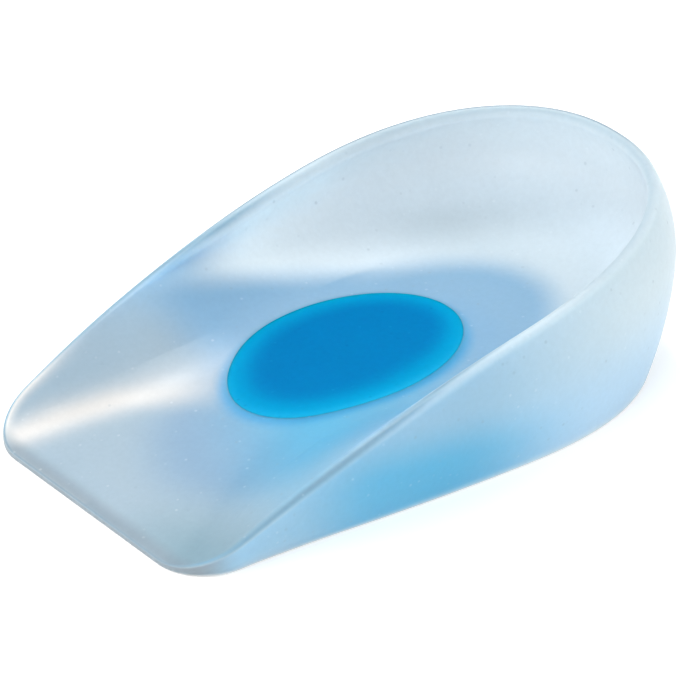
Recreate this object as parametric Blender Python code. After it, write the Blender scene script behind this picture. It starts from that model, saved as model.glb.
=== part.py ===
"""Heel cup: a soft shell that wears under the heel, with a softer oval plug in its floor.

The toe edge faces -Y, the heel faces +Y, and the flat underside lies on Z = 0. The origin is the
middle of the underside's box. The shell is one moulding: a wedge-shaped floor, thin at the toe,
and a wall that climbs from both toe corners to its full height behind the heel.
"""

import math
from collections import namedtuple

import bmesh
import bpy
import numpy as np
from mathutils import Vector

MM = 0.001

# Plan of the rim, measured from the middle of the toe edge
RIM_LENGTH = 105.0 * MM
TOE_HALF_WIDTH = 28.6 * MM
TOE_CORNER_RADIUS = 10.0 * MM
SIDE_LEAN = 0.115
HEEL_HALF_WIDTH = 31.5 * MM
HEEL_ARC_START = 62.0 * MM
HEEL_SQUARENESS = 2.2

# The cup at places from the toe edge (0) to the back of the heel (1), in millimetres:
# rim is the height of the wall's crest, foot how far the underside stands in from the rim,
# belly how far the wall swells out past the rim, thick the wall at its crest, reach the distance
# from the rim to the open floor, and floor the height of the floor on the middle line. Beside
# each valley line the floor climbs to the rim as a bank: valley is its distance from the middle,
# bend how softly it starts, and bank how much it gains over BANK_RUN
Place = namedtuple("Place", "along rim foot belly thick reach floor valley bend bank")
PLACES = [
    Place(0.00, 1.2, 0.0, 0.0, thick=0.8, reach=4.0, floor=1.2, valley=23.2, bend=1.8, bank=2.6),
    Place(0.08, 5.5, 1.6, 0.1, thick=2.0, reach=6.0, floor=2.8, valley=19.8, bend=2.2, bank=3.1),
    Place(0.20, 11.3, 2.2, 0.3, thick=2.9, reach=10.5, floor=6.0, valley=14.6, bend=3.0, bank=3.4),
    Place(0.35, 17.1, 1.8, 0.5, thick=3.0, reach=14.0, floor=8.7, valley=12.4, bend=4.5, bank=3.2),
    Place(0.50, 21.9, 1.3, 0.8, thick=2.9, reach=14.5, floor=10.1, valley=14.6, bend=5.0, bank=2.4),
    Place(0.65, 25.5, 1.0, 1.4, thick=2.8, reach=14.5, floor=11.1, valley=15.5, bend=5.0, bank=1.8),
    Place(0.82, 28.9, 0.6, 2.3, thick=2.6, reach=16.5, floor=12.0, valley=15.0, bend=5.0, bank=1.2),
    Place(1.00, 31.8, 1.2, 2.9, thick=2.2, reach=20.0, floor=12.6, valley=14.0, bend=5.0, bank=0.6),
]

# The same wall at one point of the plan, in metres: radius rounds the crest, lean is the crest's
# tilt inwards, edge rounds the underside, low is the open floor's height, and walled runs from
# 0, where the floor climbs right up to the rim, to 1, where a full wall stands above it
Wall = namedtuple("Wall", "foot belly radius reach lean crest edge floor_plan low walled")

# Share of the wall's height where it swells most, and how it curves in from there
BELLY_HEIGHT = 0.65
FOOT_CURVE = 1.8
FLOOR_CORNER_SQUARENESS = 2.3
BANK_RUN = 10.0 * MM
EDGE_ROUND = 0.8 * MM
EDGE_SHARE = 0.25
FULL_WALL_LIP = 6.0 * MM

# Soft plug set in the floor, and the pocket that holds it
PLUG_CENTRE_ALONG = 50.3 * MM
PLUG_HALF_LENGTH = 20.3 * MM
PLUG_HALF_WIDTH = 14.4 * MM
POCKET_FLOOR = 1.8 * MM
SEAT_GAP = 0.3 * MM
PLUG_EDGE_ROUND = 0.5 * MM

# How finely the outline and the section are divided
TOE_STEPS = 5
CORNER_STEPS = 7
SIDE_STEPS = 13
HEEL_STEPS = 17
EDGE_STEPS = 3
OUTER_STEPS = 9
RIM_STEPS = 5
INNER_STEPS = 11
FLOOR_STEPS = 6
PLUG_EDGE_STEPS = 2
PLUG_TOP_SHARES = (0.9, 0.75, 0.55, 0.3)

GEL_COLOUR = (0.72, 0.84, 0.92, 1.0)
PLUG_COLOUR = (0.0, 0.26, 0.62, 1.0)

GEL_SCATTER = 3.0 * MM
SHARP_EDGE = math.radians(40)

OBJECT_NAME = "heel_cup"


def at_place(column, y):
    """A column of PLACES in metres, on a smooth curve through its rows, at y from the toe edge."""
    along = min(max(y / RIM_LENGTH, 0.0), 1.0)
    stations = np.array([place.along for place in PLACES])
    values = np.array([getattr(place, column) for place in PLACES]) * MM
    slopes = np.gradient(values, stations)
    left = min(int(np.searchsorted(stations, along, side="right")) - 1, len(PLACES) - 2)
    span = stations[left + 1] - stations[left]
    t = (along - stations[left]) / span
    start = (1 + 2 * t) * (1 - t) ** 2 * values[left] + t * (1 - t) ** 2 * span * slopes[left]
    end = t * t * (3 - 2 * t) * values[left + 1] - t * t * (1 - t) * span * slopes[left + 1]
    return float(start + end)


def lame_quarter(t, squareness):
    """Cosine and sine of a rounded quarter turn, from (1, 0) at t = 0 to (0, 1) at t = 1."""
    angle = t * math.pi / 2
    power = 2 / squareness
    return max(math.cos(angle), 0.0) ** power, math.sin(angle) ** power


def half_outline():
    """The rim's plan from the middle of the toe edge round the +X side to the back of the heel."""
    lean = math.atan(SIDE_LEAN)
    corner_x = TOE_HALF_WIDTH - TOE_CORNER_RADIUS * math.cos(lean)
    points = [(corner_x * step / TOE_STEPS, 0.0) for step in range(TOE_STEPS)]
    for step in range(CORNER_STEPS):
        turn = (math.pi / 2 - lean) * step / CORNER_STEPS
        points.append(
            (
                corner_x + TOE_CORNER_RADIUS * math.sin(turn),
                TOE_CORNER_RADIUS * (1 - math.cos(turn)),
            )
        )
    side_y = TOE_CORNER_RADIUS * (1 - math.sin(lean))
    side_length = HEEL_ARC_START - side_y
    for step in range(SIDE_STEPS):
        t = step / SIDE_STEPS
        widening = t * t * (3 - 2 * t) * (HEEL_HALF_WIDTH - TOE_HALF_WIDTH)
        leaning = t * (1 - t) ** 2 * side_length * SIDE_LEAN
        points.append((TOE_HALF_WIDTH + widening + leaning, side_y + side_length * t))
    for step in range(HEEL_STEPS + 1):
        across, back = lame_quarter(step / HEEL_STEPS, HEEL_SQUARENESS)
        points.append(
            (HEEL_HALF_WIDTH * across, HEEL_ARC_START + (RIM_LENGTH - HEEL_ARC_START) * back)
        )
    return points


def whole_outline():
    """The rim's plan all the way round, counterclockwise from the middle of the toe edge."""
    half = half_outline()
    mirrored = [(-x, y) for x, y in reversed(half[1:-1])]
    return [Vector(point) for point in half + mirrored]


def outward_normals(outline):
    """The direction straight out of the plan at each of its points."""
    normals = []
    for i, point in enumerate(outline):
        before = (point - outline[i - 1]).normalized()
        after = (outline[(i + 1) % len(outline)] - point).normalized()
        along = (before + after).normalized()
        normals.append(Vector((along.y, -along.x)))
    return normals


def floor_height(plan):
    """Height of the open floor: a wedge from toe to heel between two banks at its sides."""
    past = abs(plan.x) - at_place("valley", plan.y)
    climb = (math.hypot(past, at_place("bend", plan.y)) + past) / 2
    return at_place("floor", plan.y) + at_place("bank", plan.y) * climb / BANK_RUN


def plug_edge(toward, inset=0.0):
    """The point of the plug's oval, drawn in by inset, on the line from its centre."""
    x = toward.x
    y = toward.y - PLUG_CENTRE_ALONG
    half_width = PLUG_HALF_WIDTH - inset
    half_length = PLUG_HALF_LENGTH - inset
    scale = 1 / math.hypot(x / half_width, y / half_length)
    return Vector((x * scale, PLUG_CENTRE_ALONG + y * scale))


def wall_at(rim_point, normal):
    """The wall's sizes where it passes one point of the rim's plan."""
    rim, foot, belly, thick, reach = (
        at_place(column, rim_point.y) for column in ("rim", "foot", "belly", "thick", "reach")
    )
    lean = math.atan(2 * belly / ((1 - BELLY_HEIGHT) * rim))
    crest = rim - thick / 2 * (1 - math.sin(lean))
    floor_plan = rim_point - normal * reach
    lip = crest - floor_height(rim_point - normal * thick)
    return Wall(
        foot=foot,
        belly=belly,
        radius=thick / 2,
        reach=reach,
        lean=lean,
        crest=crest,
        edge=min(EDGE_ROUND, EDGE_SHARE * rim),
        floor_plan=floor_plan,
        low=floor_height(floor_plan),
        walled=min(max(lip / FULL_WALL_LIP, 0.0), 1.0),
    )


def swell(wall, height):
    """How far the outer wall stands out past the rim at a height between 0 and the crest."""
    share = height / wall.crest
    if share >= BELLY_HEIGHT:
        return wall.belly * (1 - ((share - BELLY_HEIGHT) / (1 - BELLY_HEIGHT)) ** 2)
    depth = (BELLY_HEIGHT - share) / BELLY_HEIGHT
    return wall.belly - (wall.belly + wall.foot) * depth**FOOT_CURVE


def outer_cut(wall):
    """Out and up from the underside: its rounded edge, then the outer wall to the crest."""
    cut = []
    for step in range(EDGE_STEPS):
        turn = math.pi / 2 * step / EDGE_STEPS
        out = swell(wall, wall.edge) - wall.edge * (1 - math.sin(turn))
        cut.append((out, wall.edge * (1 - math.cos(turn))))
    for step in range(OUTER_STEPS):
        height = wall.edge + (wall.crest - wall.edge) * step / OUTER_STEPS
        cut.append((swell(wall, height), height))
    return cut


def rim_cut(wall):
    """The rounded rim, from the outer wall over to the inner one."""
    cut = []
    for step in range(RIM_STEPS + 1):
        angle = wall.lean + math.pi / 2 * (1 + wall.walled) * step / RIM_STEPS
        out = wall.radius * (math.cos(angle) - math.cos(wall.lean))
        cut.append((out, wall.crest + wall.radius * (math.sin(angle) - math.sin(wall.lean))))
    return cut


def inner_cut(wall, rim_point, normal, top_out, top):
    """Down the inner wall, which follows the outer one, and round the soft corner to the floor."""
    squareness = 1 + (FLOOR_CORNER_SQUARENESS - 1) * wall.walled
    top_swell = wall.walled * swell(wall, top)
    stands = top - floor_height(rim_point + normal * top_out)
    cut = []
    for step in range(1, INNER_STEPS):
        level, sunk = lame_quarter(step / INNER_STEPS, squareness)
        follow = wall.walled * swell(wall, top - (top - wall.low) * sunk)
        out = -wall.reach + (wall.reach + top_out - top_swell + follow) * level
        cut.append((out, floor_height(rim_point + normal * out) + stands * (1 - sunk)))
    return cut


def shell_section(rim_point, normal):
    """One cut through the shell, from its underside over the rim to the pocket for the plug."""
    wall = wall_at(rim_point, normal)
    cut = outer_cut(wall) + rim_cut(wall)
    cut += inner_cut(wall, rim_point, normal, *cut[-1])
    section = []
    for out, height in cut:
        plan = rim_point + normal * out
        section.append(Vector((plan.x, plan.y, height)))
    pocket_edge = plug_edge(wall.floor_plan)
    for step in range(FLOOR_STEPS + 1):
        plan = wall.floor_plan.lerp(pocket_edge, step / FLOOR_STEPS)
        section.append(Vector((plan.x, plan.y, floor_height(plan))))
    section.append(Vector((pocket_edge.x, pocket_edge.y, POCKET_FLOOR)))
    return section


def plug_section(toward):
    """One cut through the plug, from its underside over its rounded edges to its top."""
    bottom = POCKET_FLOOR + SEAT_GAP
    quarter = [math.pi / 2 * step / PLUG_EDGE_STEPS for step in range(PLUG_EDGE_STEPS + 1)]
    section = []
    for turn in quarter:
        plan = plug_edge(toward, SEAT_GAP + PLUG_EDGE_ROUND * (1 - math.sin(turn)))
        section.append(Vector((plan.x, plan.y, bottom + PLUG_EDGE_ROUND * (1 - math.cos(turn)))))
    for turn in reversed(quarter):
        plan = plug_edge(toward, SEAT_GAP + PLUG_EDGE_ROUND * (1 - math.sin(turn)))
        drop = PLUG_EDGE_ROUND * (1 - math.cos(turn))
        section.append(Vector((plan.x, plan.y, floor_height(plan) - drop)))
    centre = Vector((0.0, PLUG_CENTRE_ALONG))
    flat_edge = plug_edge(toward, SEAT_GAP + PLUG_EDGE_ROUND)
    for share in PLUG_TOP_SHARES:
        plan = centre.lerp(flat_edge, share)
        section.append(Vector((plan.x, plan.y, floor_height(plan))))
    return section


def loft(name, sections, shift):
    """A closed body from sections set round it, each running from its underside to its top."""
    form = bmesh.new()
    columns = [[form.verts.new(point + shift) for point in section] for section in sections]
    for i, column in enumerate(columns):
        following = columns[(i + 1) % len(columns)]
        for low in range(len(column) - 1):
            form.faces.new((column[low], following[low], following[low + 1], column[low + 1]))
    form.faces.new([column[0] for column in reversed(columns)])
    form.faces.new([column[-1] for column in columns])
    form.normal_update()
    mesh = bpy.data.meshes.new(name)
    form.to_mesh(mesh)
    form.free()
    return mesh


def gel_material(name, colour, roughness, subsurface):
    """A soft translucent silicone of one colour."""
    material = bpy.data.materials.new(name)
    material.use_nodes = True
    shader = material.node_tree.nodes["Principled BSDF"]
    shader.inputs["Base Color"].default_value = colour
    shader.inputs["Roughness"].default_value = roughness
    shader.inputs["Metallic"].default_value = 0.0
    shader.inputs["Subsurface Weight"].default_value = subsurface
    shader.inputs["Subsurface Radius"].default_value = (1.0, 1.0, 1.0)
    shader.inputs["Subsurface Scale"].default_value = GEL_SCATTER
    return material


def add_piece(name, mesh, material, collection):
    """One named piece in the object's collection, shaded smooth except at sharp edges."""
    piece = bpy.data.objects.new(name, mesh)
    mesh.materials.append(material)
    mesh.shade_smooth()
    mesh.set_sharp_from_angle(angle=SHARP_EDGE)
    collection.objects.link(piece)
    return piece


def clear_scene():
    for leftover in list(bpy.context.scene.objects):
        bpy.data.objects.remove(leftover, do_unlink=True)


def build():
    clear_scene()
    collection = bpy.data.collections.new(OBJECT_NAME)
    bpy.context.scene.collection.children.link(collection)

    outline = whole_outline()
    normals = outward_normals(outline)
    sections = [shell_section(point, normal) for point, normal in zip(outline, normals)]
    lengthways = [point.y for section in sections for point in section]
    shift = Vector((0.0, -(min(lengthways) + max(lengthways)) / 2, 0.0))

    gel = gel_material("gel", GEL_COLOUR, roughness=0.35, subsurface=0.8)
    add_piece("gel_cup", loft("gel_cup", sections, shift), gel, collection)

    plug = gel_material("plug", PLUG_COLOUR, roughness=0.4, subsurface=0.5)
    floor_edge = [wall_at(point, normal).floor_plan for point, normal in zip(outline, normals)]
    plug_sections = [plug_section(point) for point in floor_edge]
    add_piece("soft_plug", loft("soft_plug", plug_sections, shift), plug, collection)


build()
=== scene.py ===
# %% [markdown]
# This lesson dresses a heel cup: a soft silicone shell that lies in a shoe and cradles the heel.
# The real one is poured in a mould from clear, faintly blue gel, round an oval plug of softer,
# deep blue gel. The working model of both pieces is loaded first, and it is never changed. Each
# piece is then modelled once more in its place, with finer rings and a real gel finish.

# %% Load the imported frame
import math
from collections import namedtuple

import bmesh
import bpy
import numpy as np
from mathutils import Matrix, Vector


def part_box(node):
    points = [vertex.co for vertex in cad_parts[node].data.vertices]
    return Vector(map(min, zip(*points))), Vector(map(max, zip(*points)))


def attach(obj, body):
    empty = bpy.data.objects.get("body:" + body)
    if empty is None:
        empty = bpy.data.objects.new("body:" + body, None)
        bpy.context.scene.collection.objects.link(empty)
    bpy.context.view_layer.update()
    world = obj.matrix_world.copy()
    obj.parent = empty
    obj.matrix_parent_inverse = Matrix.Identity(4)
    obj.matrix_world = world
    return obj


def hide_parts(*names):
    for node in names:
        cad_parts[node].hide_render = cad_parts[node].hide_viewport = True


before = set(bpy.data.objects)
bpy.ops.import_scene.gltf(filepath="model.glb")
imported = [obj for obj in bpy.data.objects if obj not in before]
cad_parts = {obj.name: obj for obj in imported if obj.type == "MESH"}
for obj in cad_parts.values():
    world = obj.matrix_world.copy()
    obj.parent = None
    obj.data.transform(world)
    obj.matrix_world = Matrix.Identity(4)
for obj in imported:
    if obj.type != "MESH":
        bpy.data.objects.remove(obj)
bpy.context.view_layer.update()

MM = 0.001
cup_low, cup_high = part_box("gel_cup")
plug_low, plug_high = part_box("soft_plug")
print("cup box in mm:", [round(side / MM, 1) for side in cup_high - cup_low])
print("plug box in mm:", [round(side / MM, 1) for side in plug_high - plug_low])

# %% [markdown]
# A long lens far away keeps the cup's outline almost parallel, as in a catalogue picture. The
# camera looks down over the toe corner, so both the floor and one outer wall are seen. It could
# be aimed by a Track To constraint, but its three axes are easy to write down and stay exact.

# %% Camera
CAMERA_AZIMUTH = math.radians(52.07)
CAMERA_ELEVATION = math.radians(30.83)
CAMERA_ROLL = math.radians(0.38)
CAMERA_DISTANCE = 969 * MM
LENS = 328.3
AIM_HEIGHT = 12 * MM
AIM_BEHIND_TOE = 52.5 * MM
AIM_LEFT = 2.66 * MM
AIM_DOWN = 0.23 * MM


def look(azimuth, elevation, roll):
    """The camera's right, up and backward directions."""
    back = Vector((
        math.sin(azimuth) * math.cos(elevation),
        -math.cos(azimuth) * math.cos(elevation),
        math.sin(elevation),
    ))
    level = Vector((math.cos(azimuth), math.sin(azimuth), 0))
    upright = back.cross(level)
    right = level * math.cos(roll) + upright * math.sin(roll)
    return right, back.cross(right), back


right, up, back = look(CAMERA_AZIMUTH, CAMERA_ELEVATION, CAMERA_ROLL)
aim = Vector((0, cup_low.y + AIM_BEHIND_TOE, AIM_HEIGHT)) - right * AIM_LEFT - up * AIM_DOWN
camera_data = bpy.data.cameras.new("camera")
camera_data.lens = LENS
camera = bpy.data.objects.new("camera", camera_data)
bpy.context.scene.collection.objects.link(camera)
camera.matrix_world = Matrix.Translation(aim + back * CAMERA_DISTANCE) @ Matrix(
    (right, up, back)
).transposed().to_4x4()
bpy.context.scene.camera = camera
print("camera stands at", [round(value, 3) for value in camera.location])

# %% [markdown]
# The rim is drawn in plan first: a straight toe edge with round corners, sides that lean out a
# little, and a full round heel. It could be traced by eye as one free curve. Lines, an arc and a
# squared-off ellipse say the same with a handful of sizes, and those sizes can be changed later.
# Only one half is drawn, and the other is its mirror image, so the cup fits either foot.

# %% Plan of the rim
RIM_LENGTH = 105.0 * MM
TOE_HALF_WIDTH = 28.6 * MM
TOE_CORNER_RADIUS = 10.0 * MM
SIDE_LEAN = 0.115
HEEL_HALF_WIDTH = 31.5 * MM
HEEL_ARC_START = 62.0 * MM
HEEL_SQUARENESS = 2.2
TOE_STEPS = 10
CORNER_STEPS = 14
SIDE_STEPS = 26
HEEL_STEPS = 34


def squared_quarter(t, squareness):
    """Cosine and sine of a squared-off quarter turn, from (1, 0) at t = 0 to (0, 1) at t = 1."""
    angle = t * math.pi / 2
    power = 2 / squareness
    return max(math.cos(angle), 0.0) ** power, math.sin(angle) ** power


def half_outline():
    """The rim's plan from the middle of the toe edge round the +X side to the back of the heel."""
    lean = math.atan(SIDE_LEAN)
    corner_x = TOE_HALF_WIDTH - TOE_CORNER_RADIUS * math.cos(lean)
    points = [(corner_x * step / TOE_STEPS, 0.0) for step in range(TOE_STEPS)]
    for step in range(CORNER_STEPS):
        turn = (math.pi / 2 - lean) * step / CORNER_STEPS
        points.append((
            corner_x + TOE_CORNER_RADIUS * math.sin(turn),
            TOE_CORNER_RADIUS * (1 - math.cos(turn)),
        ))
    side_y = TOE_CORNER_RADIUS * (1 - math.sin(lean))
    side_length = HEEL_ARC_START - side_y
    for step in range(SIDE_STEPS):
        t = step / SIDE_STEPS
        widening = t * t * (3 - 2 * t) * (HEEL_HALF_WIDTH - TOE_HALF_WIDTH)
        leaning = t * (1 - t) ** 2 * side_length * SIDE_LEAN
        points.append((TOE_HALF_WIDTH + widening + leaning, side_y + side_length * t))
    for step in range(HEEL_STEPS + 1):
        across, behind = squared_quarter(step / HEEL_STEPS, HEEL_SQUARENESS)
        points.append((
            HEEL_HALF_WIDTH * across,
            HEEL_ARC_START + (RIM_LENGTH - HEEL_ARC_START) * behind,
        ))
    return points


half = half_outline()
outline = [Vector(point) for point in half + [(-x, y) for x, y in reversed(half[1:-1])]]
print("stations round the rim:", len(outline))

# %% [markdown]
# The wall leans, swells and thins square to the rim, so each station needs the direction that
# points straight out of the cup. It is the tangent of the rim turned by a quarter, and the
# tangent is the mean of the two short edges that meet at the station.

# %% Directions out of the rim
normals = []
for i, point in enumerate(outline):
    before = (point - outline[i - 1]).normalized()
    after = (outline[(i + 1) % len(outline)] - point).normalized()
    tangent = (before + after).normalized()
    normals.append(Vector((tangent.y, -tangent.x)))
print("at the toe edge the cup points out along", [round(value, 2) for value in normals[0]])

# %% [markdown]
# Between the toe edge and the back of the heel the shell changes all the time: it rises, swells
# and thickens. Eight places hold its sizes. Along is the share of the rim's length, counted from
# the toe edge. Rim is the height of the wall. Foot is how far the bottom edge is drawn in, belly
# how far the wall swells out, and thick how thick the rim is. Reach says how far inside the rim
# the open floor begins, and floor how high it lies. The floor has a low bank on each side: valley
# is where it starts, from the middle line, bend how softly, and bank how much it climbs in 10 mm.

# %% Sizes of the shell along the cup, in millimetres
Place = namedtuple("Place", "along rim foot belly thick reach floor valley bend bank")
PLACES = [
    Place(0.00, 1.2, 0.0, 0.0, thick=0.8, reach=4.0, floor=1.2, valley=23.2, bend=1.8, bank=2.6),
    Place(0.08, 5.5, 1.6, 0.1, thick=2.0, reach=6.0, floor=2.8, valley=19.8, bend=2.2, bank=3.1),
    Place(0.20, 11.3, 2.2, 0.3, thick=2.9, reach=10.5, floor=6.0, valley=14.6, bend=3.0, bank=3.4),
    Place(0.35, 17.1, 1.8, 0.5, thick=3.0, reach=14.0, floor=8.7, valley=12.4, bend=4.5, bank=3.2),
    Place(0.50, 21.9, 1.3, 0.8, thick=2.9, reach=14.5, floor=10.1, valley=14.6, bend=5.0, bank=2.4),
    Place(0.65, 25.5, 1.0, 1.4, thick=2.8, reach=14.5, floor=11.1, valley=15.5, bend=5.0, bank=1.8),
    Place(0.82, 28.9, 0.6, 2.3, thick=2.6, reach=16.5, floor=12.0, valley=15.0, bend=5.0, bank=1.2),
    Place(1.00, 31.8, 1.2, 2.9, thick=2.2, reach=20.0, floor=12.6, valley=14.0, bend=5.0, bank=0.6),
]
BANK_RUN = 10.0 * MM


def at_place(column, y):
    """A column of PLACES in metres, on a smooth curve through its rows, at y from the toe edge."""
    along = min(max(y / RIM_LENGTH, 0.0), 1.0)
    stations = np.array([place.along for place in PLACES])
    values = np.array([getattr(place, column) for place in PLACES]) * MM
    slopes = np.gradient(values, stations)
    left = min(int(np.searchsorted(stations, along, side="right")) - 1, len(PLACES) - 2)
    span = stations[left + 1] - stations[left]
    t = (along - stations[left]) / span
    start = (1 + 2 * t) * (1 - t) ** 2 * values[left] + t * (1 - t) ** 2 * span * slopes[left]
    end = t * t * (3 - 2 * t) * values[left + 1] - t * t * (1 - t) * span * slopes[left + 1]
    return float(start + end)


print("wall height in mm at toe, middle and heel:",
      [round(at_place("rim", RIM_LENGTH * share) / MM, 1) for share in (0, 0.5, 1)])

# %% [markdown]
# The floor is one smooth surface that a height can be read from at any point of the plan: a wedge
# that climbs to the heel, with a bank at either side. The hypotenuse rounds the start of a bank,
# where a plain maximum would leave a crease. The plug is an oval in this floor, and its edge is
# found on the straight line from its centre to any other point.

# %% Floor and plug in plan
PLUG_CENTRE_ALONG = 50.3 * MM
PLUG_HALF_LENGTH = 20.3 * MM
PLUG_HALF_WIDTH = 14.4 * MM
plug_centre = Vector((0.0, PLUG_CENTRE_ALONG))


def floor_height(plan):
    """Height of the open floor: a wedge from toe to heel between two banks at its sides."""
    past = abs(plan.x) - at_place("valley", plan.y)
    climb = (math.hypot(past, at_place("bend", plan.y)) + past) / 2
    return at_place("floor", plan.y) + at_place("bank", plan.y) * climb / BANK_RUN


def plug_edge(toward, inset=0.0):
    """The point of the plug's oval, drawn in by inset, on the line from its centre."""
    spoke = toward - plug_centre
    scale = 1 / math.hypot(
        spoke.x / (PLUG_HALF_WIDTH - inset), spoke.y / (PLUG_HALF_LENGTH - inset)
    )
    return plug_centre + spoke * scale


print("floor height in mm in the middle of the plug:", round(floor_height(plug_centre) / MM, 2))

# %% [markdown]
# At one station of the rim the table gives all that the wall needs there. The wall is a gel of
# even thickness with a round crest. Its outside bellies out like a shallow bowl and is drawn in
# again at the foot, as two soft curves that meet at 65% of its height. Near the toe the wall
# sinks into the floor, and the number called walled, from 0 to 1, says how much wall is left.

# %% Sizes of the wall at one station
BELLY_HEIGHT = 0.65
FOOT_CURVE = 1.8
EDGE_ROUND = 0.8 * MM
EDGE_SHARE = 0.25
FULL_WALL_LIP = 6.0 * MM
Wall = namedtuple("Wall", "foot belly radius reach lean crest edge floor_plan low walled")


def wall_at(rim_point, normal):
    """The wall's sizes where it passes one point of the rim's plan."""
    rim, foot, belly, thick, reach = (
        at_place(column, rim_point.y) for column in ("rim", "foot", "belly", "thick", "reach")
    )
    lean = math.atan(2 * belly / ((1 - BELLY_HEIGHT) * rim))
    crest = rim - thick / 2 * (1 - math.sin(lean))
    floor_plan = rim_point - normal * reach
    low = floor_height(floor_plan)
    lip = crest - floor_height(rim_point - normal * thick)
    walled = min(max(lip / FULL_WALL_LIP, 0.0), 1.0)
    edge = min(EDGE_ROUND, EDGE_SHARE * rim)
    return Wall(foot, belly, thick / 2, reach, lean, crest, edge, floor_plan, low, walled)


def swell(wall, height):
    """How far the outer wall stands out past the rim at a height between 0 and the crest."""
    share = height / wall.crest
    if share >= BELLY_HEIGHT:
        return wall.belly * (1 - ((share - BELLY_HEIGHT) / (1 - BELLY_HEIGHT)) ** 2)
    depth = (BELLY_HEIGHT - share) / BELLY_HEIGHT
    return wall.belly - (wall.belly + wall.foot) * depth**FOOT_CURVE


heel_station = len(half) - 1
heel_wall = wall_at(outline[heel_station], normals[heel_station])
print("behind the heel the wall swells in mm by",
      round(swell(heel_wall, heel_wall.crest * BELLY_HEIGHT) / MM, 2))

# %% [markdown]
# The profile of the wall is one line: round the bottom edge, up the outside, over the rim, and
# down the inside through a soft corner to the floor. Each point of it also carries the number of
# the face that it lies on, which the finish uses later: 0 to 1 is the underside, 1 to 2 the outer
# wall, 2 to 3 the rim and the inner wall, 3 to 4 the floor, and above 4 the pocket of the plug.

# %% Profile of the wall
EDGE_STEPS = 4
OUTER_STEPS = 14
RIM_STEPS = 10
INNER_STEPS = 18
FLOOR_CORNER_SQUARENESS = 2.3


def wall_cut(wall, rim_point, normal):
    """Out, height and face number of each point from the bottom edge to the open floor."""
    cut = []
    for step in range(EDGE_STEPS):
        turn = math.pi / 2 * step / EDGE_STEPS
        out = swell(wall, wall.edge) - wall.edge * (1 - math.sin(turn))
        cut.append((out, wall.edge * (1 - math.cos(turn)), 1.0 + 0.1 * step / EDGE_STEPS))
    for step in range(OUTER_STEPS):
        height = wall.edge + (wall.crest - wall.edge) * step / OUTER_STEPS
        cut.append((swell(wall, height), height, 1.1 + 0.8 * step / OUTER_STEPS))
    for step in range(RIM_STEPS + 1):
        angle = wall.lean + math.pi / 2 * (1 + wall.walled) * step / RIM_STEPS
        out = wall.radius * (math.cos(angle) - math.cos(wall.lean))
        height = wall.crest + wall.radius * (math.sin(angle) - math.sin(wall.lean))
        cut.append((out, height, 1.9 + 0.2 * step / RIM_STEPS))
    top_out, top, _ = cut[-1]
    squareness = 1 + (FLOOR_CORNER_SQUARENESS - 1) * wall.walled
    top_swell = wall.walled * swell(wall, top)
    stands = top - floor_height(rim_point + normal * top_out)
    for step in range(1, INNER_STEPS + 1):
        level, sunk = squared_quarter(step / INNER_STEPS, squareness)
        follow = wall.walled * swell(wall, top - (top - wall.low) * sunk)
        out = -wall.reach + (wall.reach + top_out - top_swell + follow) * level
        height = floor_height(rim_point + normal * out) + stands * (1 - sunk)
        cut.append((out, height, 2.1 + 0.9 * step / INNER_STEPS))
    return cut


heel_cut = wall_cut(heel_wall, outline[heel_station], normals[heel_station])
print("points in the profile:", len(heel_cut))
print("its highest point in mm:", round(max(height for _, height, _ in heel_cut) / MM, 2))

# %% [markdown]
# The whole cut starts in the middle of the underside, follows the profile of the wall, crosses
# the floor and goes down into the pocket of the plug. The last points of the floor lie close
# together, so that the smoothing keeps the edge of the pocket crisp.

# %% One cut through the shell for each station
UNDERSIDE_SHARES = (0.0, 0.25, 0.5, 0.75, 0.92)
FLOOR_SHARES = (0.12, 0.24, 0.36, 0.48, 0.6, 0.72, 0.83, 0.92, 0.97, 0.995, 1.0)
POCKET_FLOOR = 1.8 * MM
POCKET_DROPS = (0.015, 0.3, 0.98)
POCKET_SHARES = (0.98, 0.5)


def shell_cut(rim_point, normal):
    """Points and face numbers from the middle of the underside to the floor of the pocket."""
    wall = wall_at(rim_point, normal)
    cut = wall_cut(wall, rim_point, normal)
    pocket_edge = plug_edge(wall.floor_plan)
    middle = plug_centre.lerp(pocket_edge, 0.5)
    foot = rim_point + normal * cut[0][0]
    line = [(*middle.lerp(foot, share), 0.0, share) for share in UNDERSIDE_SHARES]
    line += [(*(rim_point + normal * out), height, face) for out, height, face in cut]
    for share in FLOOR_SHARES:
        plan = wall.floor_plan.lerp(pocket_edge, share)
        line.append((*plan, floor_height(plan), 3.0 + share))
    depth = floor_height(pocket_edge) - POCKET_FLOOR
    for drop in POCKET_DROPS:
        line.append((*pocket_edge, floor_height(pocket_edge) - depth * drop, 4.0 + drop))
    for share in POCKET_SHARES:
        line.append((*plug_centre.lerp(pocket_edge, share), POCKET_FLOOR, 5.5 - share / 2))
    return line


cuts = np.array([shell_cut(point, normal) for point, normal in zip(outline, normals)])
cuts[:, :, 1] += cup_low.y
print("cuts:", cuts.shape[0], "with points each:", cuts.shape[1])

# %% [markdown]
# The shell is raised ring by ring, as a potter raises a wall. A bare circle in the middle of the
# underside is the first ring. It is extruded again and again, and each new ring is laid on the
# cuts. A vertex remembers the station it belongs to, because an extruded vertex inherits that
# number from the one below it. Both ends are closed with a grid fill: one round face with 168
# sides would be quicker, but Subdivision Surface is very slow on it and pinches it.


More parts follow.
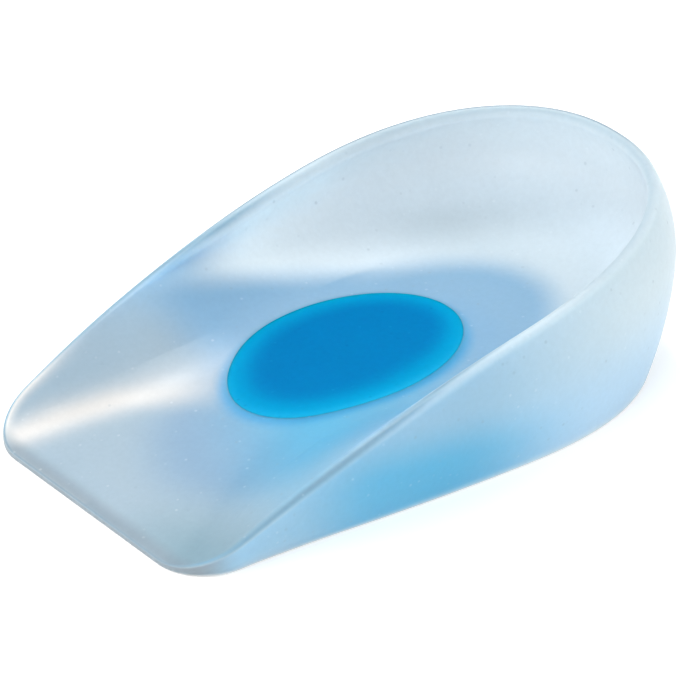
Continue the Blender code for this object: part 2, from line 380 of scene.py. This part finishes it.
# %% Raise a closed form ring by ring
def number_stations(piece, cuts):
    """Gives each vertex of the first ring the number of the cut in its direction."""
    middle = cuts[:, 0, :2].mean(axis=0)
    rim = np.array([vertex.co.xy for vertex in piece.data.vertices]) - middle
    wanted = cuts[:, 0, :2] - middle
    by_angle = np.argsort(np.arctan2(rim[:, 1], rim[:, 0]))
    stations = np.argsort(np.arctan2(wanted[:, 1], wanted[:, 0]))
    numbers = piece.data.attributes.new("station", "INT", "POINT")
    for vertex, station in zip(by_angle, stations):
        numbers.data[vertex].value = int(station)


def raise_rings(name, cuts, radius):
    """A closed mesh whose rings run through the same point of every cut."""
    bpy.ops.object.select_all(action="DESELECT")
    bpy.ops.mesh.primitive_circle_add(
        vertices=len(cuts), radius=radius, location=cuts[:, 0, :3].mean(axis=0)
    )
    piece = bpy.context.object
    piece.name = piece.data.name = name
    bpy.ops.object.transform_apply(location=True, rotation=True, scale=True)
    number_stations(piece, cuts)
    piece.data.attributes.new("face", "FLOAT", "POINT")
    bpy.ops.object.mode_set(mode="EDIT")
    bpy.ops.mesh.select_mode(type="EDGE")
    bpy.ops.mesh.select_all(action="SELECT")
    for ring in range(cuts.shape[1]):
        if ring:
            bpy.ops.mesh.extrude_edges_move()
        form = bmesh.from_edit_mesh(piece.data)
        station = form.verts.layers.int["station"]
        face = form.verts.layers.float["face"]
        for vertex in form.verts:
            if vertex.select:
                vertex.co = cuts[vertex[station], ring, :3]
                vertex[face] = cuts[vertex[station], ring, 3]
        bmesh.update_edit_mesh(piece.data)
    bpy.ops.mesh.fill_grid(span=len(cuts) // 4)
    bpy.ops.mesh.select_all(action="DESELECT")
    bpy.ops.mesh.select_non_manifold()
    bpy.ops.mesh.fill_grid(span=len(cuts) // 4)
    bpy.ops.mesh.select_all(action="SELECT")
    bpy.ops.mesh.normals_make_consistent(inside=False)
    bpy.ops.object.mode_set(mode="OBJECT")
    return piece


cup = raise_rings("clear_gel_cup", cuts, PLUG_HALF_WIDTH)
print(cup.name, "has", len(cup.data.polygons), "faces before it is smoothed")

# %% [markdown]
# Poured gel has no hard edge anywhere, and even its finest edges are drops of a few tenths of a
# millimetre. One level of Subdivision Surface gives that roundness. More levels would only add
# weight, because the rings already follow the curves closely.

# %% Smooth the cup
SHARPEST_ANGLE = math.radians(50)


def refine(piece, levels):
    """Rounds the form with a Subdivision Surface and applies it."""
    bpy.ops.object.select_all(action="DESELECT")
    piece.select_set(True)
    bpy.context.view_layer.objects.active = piece
    smooth = piece.modifiers.new("smooth", "SUBSURF")
    smooth.levels = smooth.render_levels = levels
    bpy.ops.object.modifier_apply(modifier="smooth")
    bpy.ops.object.shade_smooth_by_angle(angle=SHARPEST_ANGLE)
    piece.data.calc_loop_triangles()
    print(piece.name, "has", len(piece.data.loop_triangles), "triangles")


refine(cup, levels=1)

# %% [markdown]
# The plug fills the pocket up to the level of the floor. It is raised in the same way, from its
# underside over a tight round edge, and its top follows the wedge of the floor. On the real cup
# the two gels are bonded, with no gap between them. So the plug's side reaches a hair into the
# cup, and its top stands a hair proud, which keeps the two surfaces from flickering together.

# %% Raise the plug
SEAT_GAP = 0.3 * MM
BOND_OVERLAP = 0.15 * MM
PLUG_PROUD = 0.03 * MM
PLUG_EDGE_ROUND = 0.03 * MM
PLUG_EDGE_STEPS = 4
PLUG_UNDER_SHARES = (0.5, 0.8, 0.97)
PLUG_TOP_SHARES = (0.985, 0.95, 0.9, 0.82, 0.72, 0.6, 0.47, 0.34, 0.2, 0.08)


def plug_cut(toward):
    """Points and face numbers from the middle of the plug's underside to the middle of its top."""
    bottom = POCKET_FLOOR + SEAT_GAP
    quarter = [math.pi / 2 * step / PLUG_EDGE_STEPS for step in range(PLUG_EDGE_STEPS + 1)]
    inner = plug_edge(toward, PLUG_EDGE_ROUND - BOND_OVERLAP)
    line = [(*plug_centre.lerp(inner, share), bottom, share) for share in PLUG_UNDER_SHARES]
    for turn in quarter:
        plan = plug_edge(toward, PLUG_EDGE_ROUND * (1 - math.sin(turn)) - BOND_OVERLAP)
        line.append((*plan, bottom + PLUG_EDGE_ROUND * (1 - math.cos(turn)), 1.0))
    for turn in reversed(quarter):
        plan = plug_edge(toward, PLUG_EDGE_ROUND * (1 - math.sin(turn)) - BOND_OVERLAP)
        drop = PLUG_EDGE_ROUND * (1 - math.cos(turn)) - PLUG_PROUD
        line.append((*plan, floor_height(plan) - drop, 2.0))
    for share in PLUG_TOP_SHARES:
        plan = plug_centre.lerp(inner, share)
        line.append((*plan, floor_height(plan) + PLUG_PROUD, 3.0 - share))
    return line


floor_edge = [wall_at(point, normal).floor_plan for point, normal in zip(outline, normals)]
plug_cuts = np.array([plug_cut(toward) for toward in floor_edge])
plug_cuts[:, :, 1] += cup_low.y
plug = raise_rings("blue_gel_plug", plug_cuts, PLUG_HALF_WIDTH)
refine(plug, levels=1)

# %% [markdown]
# The gel itself has almost no colour. What is seen in it is depth: a thin rim stays pale, a thick
# floor turns blue, and the plug throws a blue glow through the clear gel beside it. Light traced
# through a real volume would show this too, but slowly, and it can't travel with a reusable part.
# So the depth is painted, and with it some painted light and shade: the plug's glow, a highlight on
# the bank and the light and dark lines of the edges. A layer of paint is a colour and a mask, and a
# mask is a smooth number between 0 and 1 that follows from where a point lies and which face it is on.


# %% Tools for masks
def fade(values, start, end):
    """0 up to the start, 1 from the end on, and a smooth S between them."""
    t = np.clip((values - start) / (end - start), 0, 1)
    return t * t * (3 - 2 * t)


def hump(values, middle, width):
    """1 in the middle, sinking smoothly to 0 on both sides."""
    return np.exp(-(((values - middle) / width) ** 2))


def past_oval(x, y, middle, half):
    """About how far a point in plan lies outside an oval, in the same unit; negative inside."""
    across, behind = x - middle[0], y - middle[1]
    size = np.hypot(across / half[0], behind / half[1])
    slope = np.hypot(across / half[0] ** 2, behind / half[1] ** 2)
    return (size - 1) * size / np.maximum(slope, 1e-6)


def measure(piece):
    """Each vertex in mm, with y counted from the toe edge, and its face number."""
    places = np.empty(3 * len(piece.data.vertices), dtype=np.float32)
    piece.data.vertices.foreach_get("co", places)
    x, y, z = places.reshape(-1, 3).astype(float).T / MM
    face = np.empty(len(piece.data.vertices), dtype=np.float32)
    piece.data.attributes["face"].data.foreach_get("value", face)
    return x, y - cup_low.y / MM, z, face.astype(float)


print("a fade from 0 to 10, read at 2, 5 and 8:", fade(np.array([2, 5, 8]), 0, 10).round(2))

# %% [markdown]
# The paint is kept as a colour on each vertex. A picture wrapped round the piece by a UV map is
# the usual way, but a few thousand vertices hold such soft colours just as well, need no seams,
# and go with the mesh wherever it goes. The layers are laid one over another, as on a canvas, each
# as far as its mask goes. Colours are written in linear light, as Blender's shaders use them.

# %% Tools for paint
TINT = "tint"
MATTE = "matte"
Layer = namedtuple("Layer", "name colour mask")


def paint(piece, layers):
    """Lays the layers over one another, each as far as its mask goes, and keeps the result."""
    tint = np.ones((len(piece.data.vertices), 4))
    for layer in layers:
        tint[:, :3] += (np.array(layer.colour) - tint[:, :3]) * np.reshape(layer.mask, (-1, 1))
    store = piece.data.color_attributes.new(TINT, "FLOAT_COLOR", "POINT")
    store.data.foreach_set("color", tint.astype(np.float32).ravel())
    print(piece.name, "has", len(layers), "layers, first", layers[0].name, "and last", layers[-1].name)
    print("its tint runs from", tint.min(axis=0)[:3].round(2), "to", tint.max(axis=0)[:3].round(2))


def set_matte(piece, values):
    """Keeps how dull the skin is at each vertex, 0 for glossy and 1 for dull."""
    store = piece.data.attributes.new(MATTE, "FLOAT", "POINT")
    store.data.foreach_set("value", np.broadcast_to(values, len(store.data)).astype(np.float32))


# %% [markdown]
# Most masks ask the same questions of a point: is it on the outside or the inside of the shell, how
# far is it from the plug, and is it on the side where the plug's light comes through? The answers are
# worked out once for all vertices. The glow is painted light with one direction, across the floor to
# the near wall, as the key lamp shines through the plug from the far side.

# %% Where each vertex of the cup lies
PLUG_MIDDLE = (0.0, PLUG_CENTRE_ALONG / MM)
PLUG_HALF = (PLUG_HALF_WIDTH / MM, PLUG_HALF_LENGTH / MM)
# the direction in which the painted glow of the plug spreads, away from the key lamp's side
GLOW_X, GLOW_Y = 0.90, -0.436


def around_plug(x, y, dark, bright):
    """Distance along and beside the glow in mm, and a mask that is 1 on the plug's glowing side."""
    toward = x * GLOW_X + (y - PLUG_MIDDLE[1]) * GLOW_Y
    beside = (y - PLUG_MIDDLE[1]) * GLOW_X - x * GLOW_Y
    facing = toward / np.maximum(np.hypot(toward, beside), 1e-6)
    return toward, beside, fade(facing, dark, bright)


x, y, z, face = measure(cup)
outer = fade(face, 2.0, 1.9)
inner = 1 - outer
toward, beside, near = around_plug(x, y, -0.7, 0.5)
from_plug = past_oval(x, y, PLUG_MIDDLE, PLUG_HALF)
print("vertices:", len(x), "of them outside:", int((outer > 0.5).sum()))

# %% [markdown]
# The walls come first. Inside, the heel wall is thin and pale at its rim and greyer toward its
# foot. Outside, the front half is bluer, because the eye looks through the wall into the thick
# floor, and the foot of the heel is blue where it stands on that floor. All the numbers in a mask
# are millimetres from the toe edge, or face numbers.

# %% Layers of the walls
low_outer = (1 - fade(face, 1.2, 1.75)) * fade(y, 45, 68) * (1 - fade(y, 90, 106))
blue_front = 1 - fade(y - 18 * (1.6 - face), 48, 92)
mid_wall = fade(face, 2.12, 2.6) * fade(y, 40, 80)
wall_foot = fade(face, 2.5, 2.85) * fade(y, 68, 88)
wall_layers = [
    Layer("pale gel", (0.709, 0.795, 0.834), np.ones_like(x)),
    Layer("heel wall", (0.605, 0.661, 0.692), inner * fade(y, 52, 88)),
    Layer("middle of the wall", (0.541, 0.629, 0.689), inner * mid_wall),
    Layer("foot of the heel wall", (0.453, 0.540, 0.594), inner * wall_foot),
    Layer("outer wall", (0.534, 0.638, 0.686), outer),
    Layer("blue front outside", (0.254, 0.432, 0.566), outer * blue_front),
    Layer("foot of the outer wall", (0.381, 0.563, 0.717), outer * low_outer),
]
print("layers of the walls:", [layer.name for layer in wall_layers])

# %% [markdown]
# The floor is grey where it thins out to the toe and blue where it is thick, in wide ovals that melt
# into one another. Along the bank at one side lies a painted highlight: a pale stripe that adds to the
# key lamp's reflection in the bend of the gel. It follows the valley of the floor, fans out as the
# floor rises and is gone before the plug.

# %% Layers of the floor
# points of the line that the painted highlight along the bank follows
HIGHLIGHT_Y = (2, 10, 15, 21, 28, 34)
HIGHLIGHT_X = (22.1, 19.8, 17.3, 14.6, 12.6, 11.7)
thick_floor = past_oval(x, y, (3, 56), (20.5, 31.5))
round_plug = past_oval(x, y, (5, 47.5), (16.4, 22.3))
front_floor = past_oval(x, y, (7, 30), (17, 17))
thin_toe = 1 - fade(y - 14 * (face - 2.15), 28, 46)
sky_side = hump(y, 37, 9) * fade(face, 2.75, 2.15)
low_side = fade(face - 0.022 * (y - 40), 2.30, 2.65) * fade(y, 28, 38) * (1 - fade(y, 60, 75))
fan = fade(y, 16, 32)
from_highlight = x + np.interp(y, HIGHLIGHT_Y, HIGHLIGHT_X) - 3.5 * fan
# painted highlight: a pale stripe along the bank where the key lamp is reflected
painted_highlight = hump(from_highlight, 0, 3.2 + 2.8 * fan) * (1 - fade(y, 24, 40))
floor_layers = [
    Layer("thin toe", (0.275, 0.372, 0.448), inner * thin_toe),
    Layer("sky blue side", (0.268, 0.450, 0.611), inner * sky_side),
    Layer("thick floor", (0.191, 0.348, 0.497), inner * (1 - fade(thick_floor, -5, 3))),
    Layer("floor round the plug", (0.170, 0.337, 0.508), inner * (1 - fade(round_plug, -1, 7))),
    Layer("foot of the side wall", (0.187, 0.349, 0.505), inner * low_side),
    Layer("front of the floor", (0.167, 0.293, 0.422), inner * (1 - fade(front_floor, -5, 7))),
    # painted highlight along the bank
    Layer("painted highlight on the bank", (0.584, 0.575, 0.560), (0.95 - 0.35 * fan) * inner * painted_highlight),
]
print("layers of the floor:", [layer.name for layer in floor_layers])

# %% [markdown]
# The plug's glow is painted light: a soft patch of blue in the near wall and the floor beside it. It
# starts at the plug, dies away with distance to the front, to the back and upward, and reaches less
# high toward the heel. Right round the plug a thin band of the clear gel takes on its full blue: a
# little all round, and most on the glowing side, where it is painted light as well.

# %% Layers of the glow
glow_top = 11 - np.maximum(y - 35, 0) * 0.11
# painted light: the blue glow of the plug in the near wall and the floor
glow = (
    fade(toward, -2, 12)
    * np.exp(-np.maximum(toward - 24, 0) / 60)
    * (1 - fade(np.abs(beside + 2 - 5 * outer), 3, 27 + 9 * outer))
    * (1 - outer * (1 - fade(y, 10, 32)))
    * (1 - fade(z - glow_top, -3, 7))
)
# the gel's blue band round the plug, with painted glow on the glowing side
ring = (1 - fade(from_plug, 0.2, 0.8 + 2.6 * near)) * (0.3 + 0.7 * near)
glow_layers = [
    Layer("painted glow of the plug", (0.061, 0.360, 0.569), glow),
    Layer("blue ring with painted glow round the plug", (0.000, 0.262, 0.522), inner * ring),
]
print("the glow reaches", round(float(z[glow > 0.5].max()), 1), "mm up the wall")

# %% [markdown]
# Last come the edges, because a clear edge bends the light away and shows as a line, and these lines
# are painted light and shade. The rim has a painted dark line in front that softens behind the heel,
# and one more runs under the far rim. The toe edge has a painted grey line and the bottom edge a
# painted light one. Two corners of the toe differ: one catches the light and has painted light, and
# the other doesn't and has painted shade.

# %% Layers of the edges, and the whole cup
toe_corner = 1 - fade(y, 8, 22)
# painted light on the toe corner on the key lamp's side
painted_light_corner = toe_corner * fade(face, 2.5, 2.05) * (x < 0)
# painted shade on the other toe corner
painted_shade_corner = (1 - fade(y, 4, 18)) * fade(x, 2, 20)
# painted shade: a dark line along the rim in front, softer behind the heel
painted_rim_shade = hump(face, 2.01, 0.055) * (1 - fade(y, 45, 80))
painted_crest_shade = hump(face, 2.0, 0.07) * fade(y, 45, 80)
# painted shade: a dark line under the rim, on the far side only
painted_far_rim_shade = hump(face, 1.95, 0.018) * fade(y, 25, 55) * fade(x, 14, -6)
# painted shade: a grey line along the toe edge
painted_toe_edge_shade = inner * (1 - fade(y, 0.5, 3.5))
edge_layers = [
    # painted light and painted shade on the two toe corners
    Layer("painted light on a toe corner", (0.605, 0.597, 0.578), inner * painted_light_corner),
    Layer("painted shade on a toe corner", (0.182, 0.296, 0.362), inner * painted_shade_corner),
    # painted shade along the rim and its crest
    Layer("painted shade along the rim", (0.167, 0.294, 0.386), painted_rim_shade),
    Layer("painted shade on the rim behind the heel", (0.341, 0.429, 0.483), painted_crest_shade),
    # painted dark line under the far rim
    Layer("painted dark line under the far rim", (0.000, 0.064, 0.126), 0.8 * painted_far_rim_shade),
    # painted shade on the toe edge and on the outside of the toe
    Layer("painted grey line on the toe edge", (0.178, 0.242, 0.292), 0.9 * painted_toe_edge_shade),
    Layer("painted shade outside the toe", (0.199, 0.244, 0.277), outer * (1 - fade(y, 2, 9))),
    # painted light: a light line along the bottom edge
    Layer("painted light line on the bottom edge", (0.745, 0.743, 0.724), 0.8 * hump(face, 1.04, 0.05)),
]
paint(cup, wall_layers + floor_layers + glow_layers + edge_layers)
set_matte(cup, fade(y, 34, 62))

# %% [markdown]
# The plug is dyed right through, so it is darkest in its middle, where the light comes back from its
# full depth. Toward its edge the clear gel under it lets light in, and that light is painted: the blue
# turns to cyan, more so on the side of the glow. Its skin is duller than the cup's in front.

# %% Paint the plug
x, y, z, face = measure(plug)
toward, beside, near = around_plug(x, y, -0.8, 0.8)
inside = -past_oval(x, y, PLUG_MIDDLE, PLUG_HALF)
paint(plug, [
    Layer("deep blue", (0.000, 0.150, 0.375), np.ones_like(x)),
    # painted light: the plug grows lighter and cyan toward its edge, most on the glowing side
    Layer("wide rim of painted light", (0.000, 0.215, 0.450), 1 - fade(inside, 1.0, 4.0 + 4.0 * near)),
    Layer("narrow rim of painted light", (0.000, 0.262, 0.497), 1 - fade(inside, 0.0, 2.0 + 3.6 * near)),
    Layer("painted cyan glow at the edge", (0.006, 0.300, 0.560), (1 - fade(inside, -0.3, 0.3 + 1.8 * near)) * near),
])
set_matte(plug, 0.7)

# %% [markdown]
# A material is a tree of nodes, and a tree wired by hand in the editor is quick to try out. In a
# script the same tree is easier to read when one small helper adds a node, sets it and wires it
# in one line. Two more helpers multiply two values and mix two colours.


# %% Helpers for shader nodes
def node(tree, kind, inputs=(), **settings):
    """A shader node with its settings; each input is wired to another node's output or set."""
    made = tree.nodes.new(kind)
    for name, value in settings.items():
        setattr(made, name, value)
    for name, source in dict(inputs).items():
        if isinstance(source, bpy.types.NodeSocket):
            tree.links.new(source, made.inputs[name])
        else:
            made.inputs[name].default_value = source
    return made


def times(tree, first, second):
    """The product of two values, each a node's output or a number."""
    return node(tree, "ShaderNodeMath", {0: first, 1: second}, operation="MULTIPLY").outputs[0]


def blend(tree, factor, first, second):
    """Two colours mixed by a factor; a Mix node keeps its colours in sockets 6, 7 and out 2."""
    mix = node(tree, "ShaderNodeMix", {0: factor, 6: first, 7: second}, data_type="RGBA")
    return mix.outputs[2]


# %% [markdown]
# A flat colour would look like plastic. Real poured gel is a little cloudy and carries fine dust
# and tiny bubbles. All of it is drawn by the shader from the position in the piece, so it sticks
# to the piece and needs no picture. Clouds are noise. Bubbles and dust are the cells of a Voronoi
# texture: each cell may hold one round dot, and the cell's own random colour decides whether it
# does and how strong the dot is.

# %% Clouds and dots
WIDE_CLOUDS = 60.0
FINE_CLOUDS = 1100.0
BUBBLE_CELLS = 620.0
DUST_CELLS = 480.0


def noise(tree, place, scale, detail, low, high):
    """Soft cloudy noise, mostly between low and high."""
    cloud = node(tree, "ShaderNodeTexNoise",
                 {"Vector": place, "Scale": scale, "Detail": detail, "Roughness": 0.55})
    spread = node(tree, "ShaderNodeMapRange", {
        "Value": cloud.outputs[0], "From Min": 0.2, "From Max": 0.8, "To Min": low, "To Max": high,
    }, clamp=False)
    return spread.outputs["Result"]


def dots(tree, place, scale, radius, share):
    """Small round dots, in a share of the cells of a Voronoi texture; radius is in cells."""
    cells = node(tree, "ShaderNodeTexVoronoi", {"Vector": place, "Scale": scale})
    dot = node(tree, "ShaderNodeMapRange", {
        "Value": cells.outputs["Distance"],
        "From Min": radius, "From Max": radius * 0.4, "To Min": 0.0, "To Max": 1.0,
    })
    lot = node(tree, "ShaderNodeSeparateColor", {"Color": cells.outputs["Color"]})
    chosen = node(tree, "ShaderNodeMath", {0: lot.outputs["Red"], 1: share}, operation="LESS_THAN")
    strength = times(tree, lot.outputs["Green"], chosen.outputs[0])
    return times(tree, dot.outputs["Result"], strength)


print("size in mm of a wide cloud, a fine cloud, a bubble's cell and a speck's cell:",
      [round(1 / scale / MM, 1) for scale in (WIDE_CLOUDS, FINE_CLOUDS, BUBBLE_CELLS, DUST_CELLS)])

# %% [markdown]
# Both gels share three things: a colour with clouds, bubbles and dust in it, a gloss that varies
# a little from place to place, and a skin that repeats the slow waves and the fine grain of the
# mould. Each is a function that returns one output, and the numbers of the two gels stay in one
# named record. The skin is bump and no mesh, because its relief is only hundredths of a mm.

# %% Colour, gloss and skin of a gel
UNEVEN_GLOSS = 240.0
SKIN_WAVES = 130.0
SKIN_GRAIN = 1400.0
GLOSS_PLAY = 0.03
Gel = namedtuple("Gel", "cloud bubble bubble_strength dust dust_strength glossy dull specular")


def gel_colour(tree, place, look):
    """The painted tint, made cloudy, with light bubbles and dark dust in it."""
    tint = node(tree, "ShaderNodeAttribute", attribute_name=TINT).outputs["Color"]
    wide = noise(tree, place, WIDE_CLOUDS, 3.0, 1 - look.cloud, 1 + look.cloud)
    fine = noise(tree, place, FINE_CLOUDS, 2.0, 1 - look.cloud, 1 + look.cloud)
    clouded = node(tree, "ShaderNodeVectorMath", {0: tint, "Scale": times(tree, wide, fine)},
                   operation="SCALE").outputs[0]
    bubbles = dots(tree, place, BUBBLE_CELLS, 0.20, 0.30)
    specks = dots(tree, place, DUST_CELLS, 0.18, 0.40)
    bubbled = blend(tree, times(tree, bubbles, look.bubble_strength), clouded, look.bubble)
    return blend(tree, times(tree, specks, look.dust_strength), bubbled, look.dust)


def gel_roughness(tree, place, look):
    """From glossy to dull as the paint says, and a little uneven."""
    matte = node(tree, "ShaderNodeAttribute", attribute_name=MATTE).outputs["Fac"]
    spread = node(tree, "ShaderNodeMapRange",
                  {"Value": matte, "To Min": look.glossy, "To Max": look.dull})
    uneven = noise(tree, place, UNEVEN_GLOSS, 3.0, -GLOSS_PLAY, GLOSS_PLAY)
    return node(tree, "ShaderNodeMath", {0: spread.outputs["Result"], 1: uneven},
                operation="ADD").outputs[0]


def gel_skin(tree, place):
    """Slow waves with fine grain on them, as a mould leaves them."""
    waves = noise(tree, place, SKIN_WAVES, 2.0, 0.0, 1.0)
    wavy = node(tree, "ShaderNodeBump", {"Height": waves, "Strength": 0.15, "Distance": 0.1 * MM})
    grain = noise(tree, place, SKIN_GRAIN, 2.0, 0.0, 1.0)
    return node(tree, "ShaderNodeBump", {
        "Height": grain, "Strength": 0.4, "Distance": 0.015 * MM, "Normal": wavy.outputs[0],
    }).outputs[0]


print("size in mm of a patch of gloss, a wave and a grain:",
      [round(1 / scale / MM, 1) for scale in (UNEVEN_GLOSS, SKIN_WAVES, SKIN_GRAIN)])

# %% [markdown]
# The milkiness itself is subsurface scattering: light enters, travels about 3 mm and comes out
# beside where it went in, which softens every shadow on the cup. Glass with a volume would be
# the textbook way, but it is noisy and turns black in thick parts. The plug's own reflection is
# held back almost wholly, because white light from it would wash out the deep blue.

# %% The two gels
SCATTER_DEPTH = 3 * MM
SILICONE_IOR = 1.41


def gel(name, look):
    """A milky translucent gel that takes its tint and its gloss from the paint."""
    material = bpy.data.materials.new(name)
    material.use_nodes = True
    tree = material.node_tree
    shader = tree.nodes["Principled BSDF"]
    place = node(tree, "ShaderNodeTexCoord").outputs["Object"]
    tree.links.new(gel_colour(tree, place, look), shader.inputs["Base Color"])
    tree.links.new(gel_roughness(tree, place, look), shader.inputs["Roughness"])
    tree.links.new(gel_skin(tree, place), shader.inputs["Normal"])
    shader.inputs["Subsurface Weight"].default_value = 1.0
    shader.inputs["Subsurface Radius"].default_value = (1.0, 1.0, 1.0)
    shader.inputs["Subsurface Scale"].default_value = SCATTER_DEPTH
    shader.inputs["IOR"].default_value = SILICONE_IOR
    shader.inputs["Specular IOR Level"].default_value = look.specular
    print(name, "has", len(tree.nodes), "nodes")
    return material


cup.data.materials.append(gel("clear_gel", Gel(
    cloud=0.03,
    bubble=(0.86, 0.91, 0.94, 1), bubble_strength=0.14,
    dust=(0.20, 0.27, 0.33, 1), dust_strength=0.28,
    glossy=0.34, dull=0.46, specular=0.5,
)))
plug.data.materials.append(gel("blue_gel", Gel(
    cloud=0.04,
    bubble=(0.02, 0.30, 0.56, 1), bubble_strength=0.20,
    dust=(0.0, 0.08, 0.25, 1), dust_strength=0.30,
    glossy=0.36, dull=0.44, specular=0.01,
)))

# %% [markdown]
# The cup is one soft body with the plug bonded into it, and nothing on it turns or slides. So
# both pieces ride on the one body of the model. Each stands for the plain solid in its place and
# takes its finish from the material slot of the same name.

# %% Put the pieces on the frame
for piece, solid, slot in ((cup, "gel_cup", "clear_gel"), (plug, "soft_plug", "blue_gel")):
    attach(piece, "root")
    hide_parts(solid)
    print(piece.name, "stands for", solid, "in", slot)

# %% [markdown]
# A clear gel looks best on a light table, a bright sheet lit from below, because the light that
# comes up through it takes the weight out of its shadow. A real light table is a lamp under
# frosted glass. Here the floor is a large pale sheet that gives off a little light of its own.

# %% Floor
FLOOR_SIZE = 6.0
bpy.ops.object.select_all(action="DESELECT")
bpy.ops.mesh.primitive_plane_add(size=FLOOR_SIZE)
floor = bpy.context.object
floor.name = "floor"
paper = bpy.data.materials.new("paper")
paper.use_nodes = True
sheet = paper.node_tree.nodes["Principled BSDF"]
sheet.inputs["Base Color"].default_value = (0.9, 0.9, 0.9, 1)
sheet.inputs["Roughness"].default_value = 0.9
sheet.inputs["Emission Color"].default_value = (1, 1, 1, 1)
sheet.inputs["Emission Strength"].default_value = 0.2
floor.data.materials.append(paper)
print("floor is", FLOOR_SIZE, "m wide and glows at", sheet.inputs["Emission Strength"].default_value)

# %% [markdown]
# The studio is white all round, which fills every shadow. A small soft box high over the far wall is
# the key: it draws the light lines on the rim and the bank, and on the bank a painted highlight adds
# to its line. A wide one low in front fills the outer wall. One sun lamp would be simpler, but it
# gives the hard glints of a wet surface, and this gel is satin.

# %% Light
world = bpy.data.worlds.new("studio")
bpy.context.scene.world = world
world.use_nodes = True
world.node_tree.nodes["Background"].inputs["Color"].default_value = (1.0, 1.0, 1.0, 1)
world.node_tree.nodes["Background"].inputs["Strength"].default_value = 1.0


def soft_box(name, direction, distance, size, power):
    """A square lamp that faces the middle of the cup."""
    lamp = bpy.data.lights.new(name, "AREA")
    lamp.shape = "SQUARE"
    lamp.size = size
    lamp.energy = power
    holder = bpy.data.objects.new(name, lamp)
    bpy.context.scene.collection.objects.link(holder)
    toward = Vector(direction).normalized()
    holder.location = aim + toward * distance
    holder.rotation_euler = toward.to_track_quat("Z", "Y").to_euler()
    print(name, "gives", power, "W from", distance, "m away")


soft_box("key", (-0.49, 0.18, 0.85), distance=1.0, size=0.28, power=3.7)
soft_box("fill", (0.30, -0.85, 0.42), distance=1.2, size=0.8, power=7.0)
bpy.context.scene.view_settings.view_transform = "Standard"
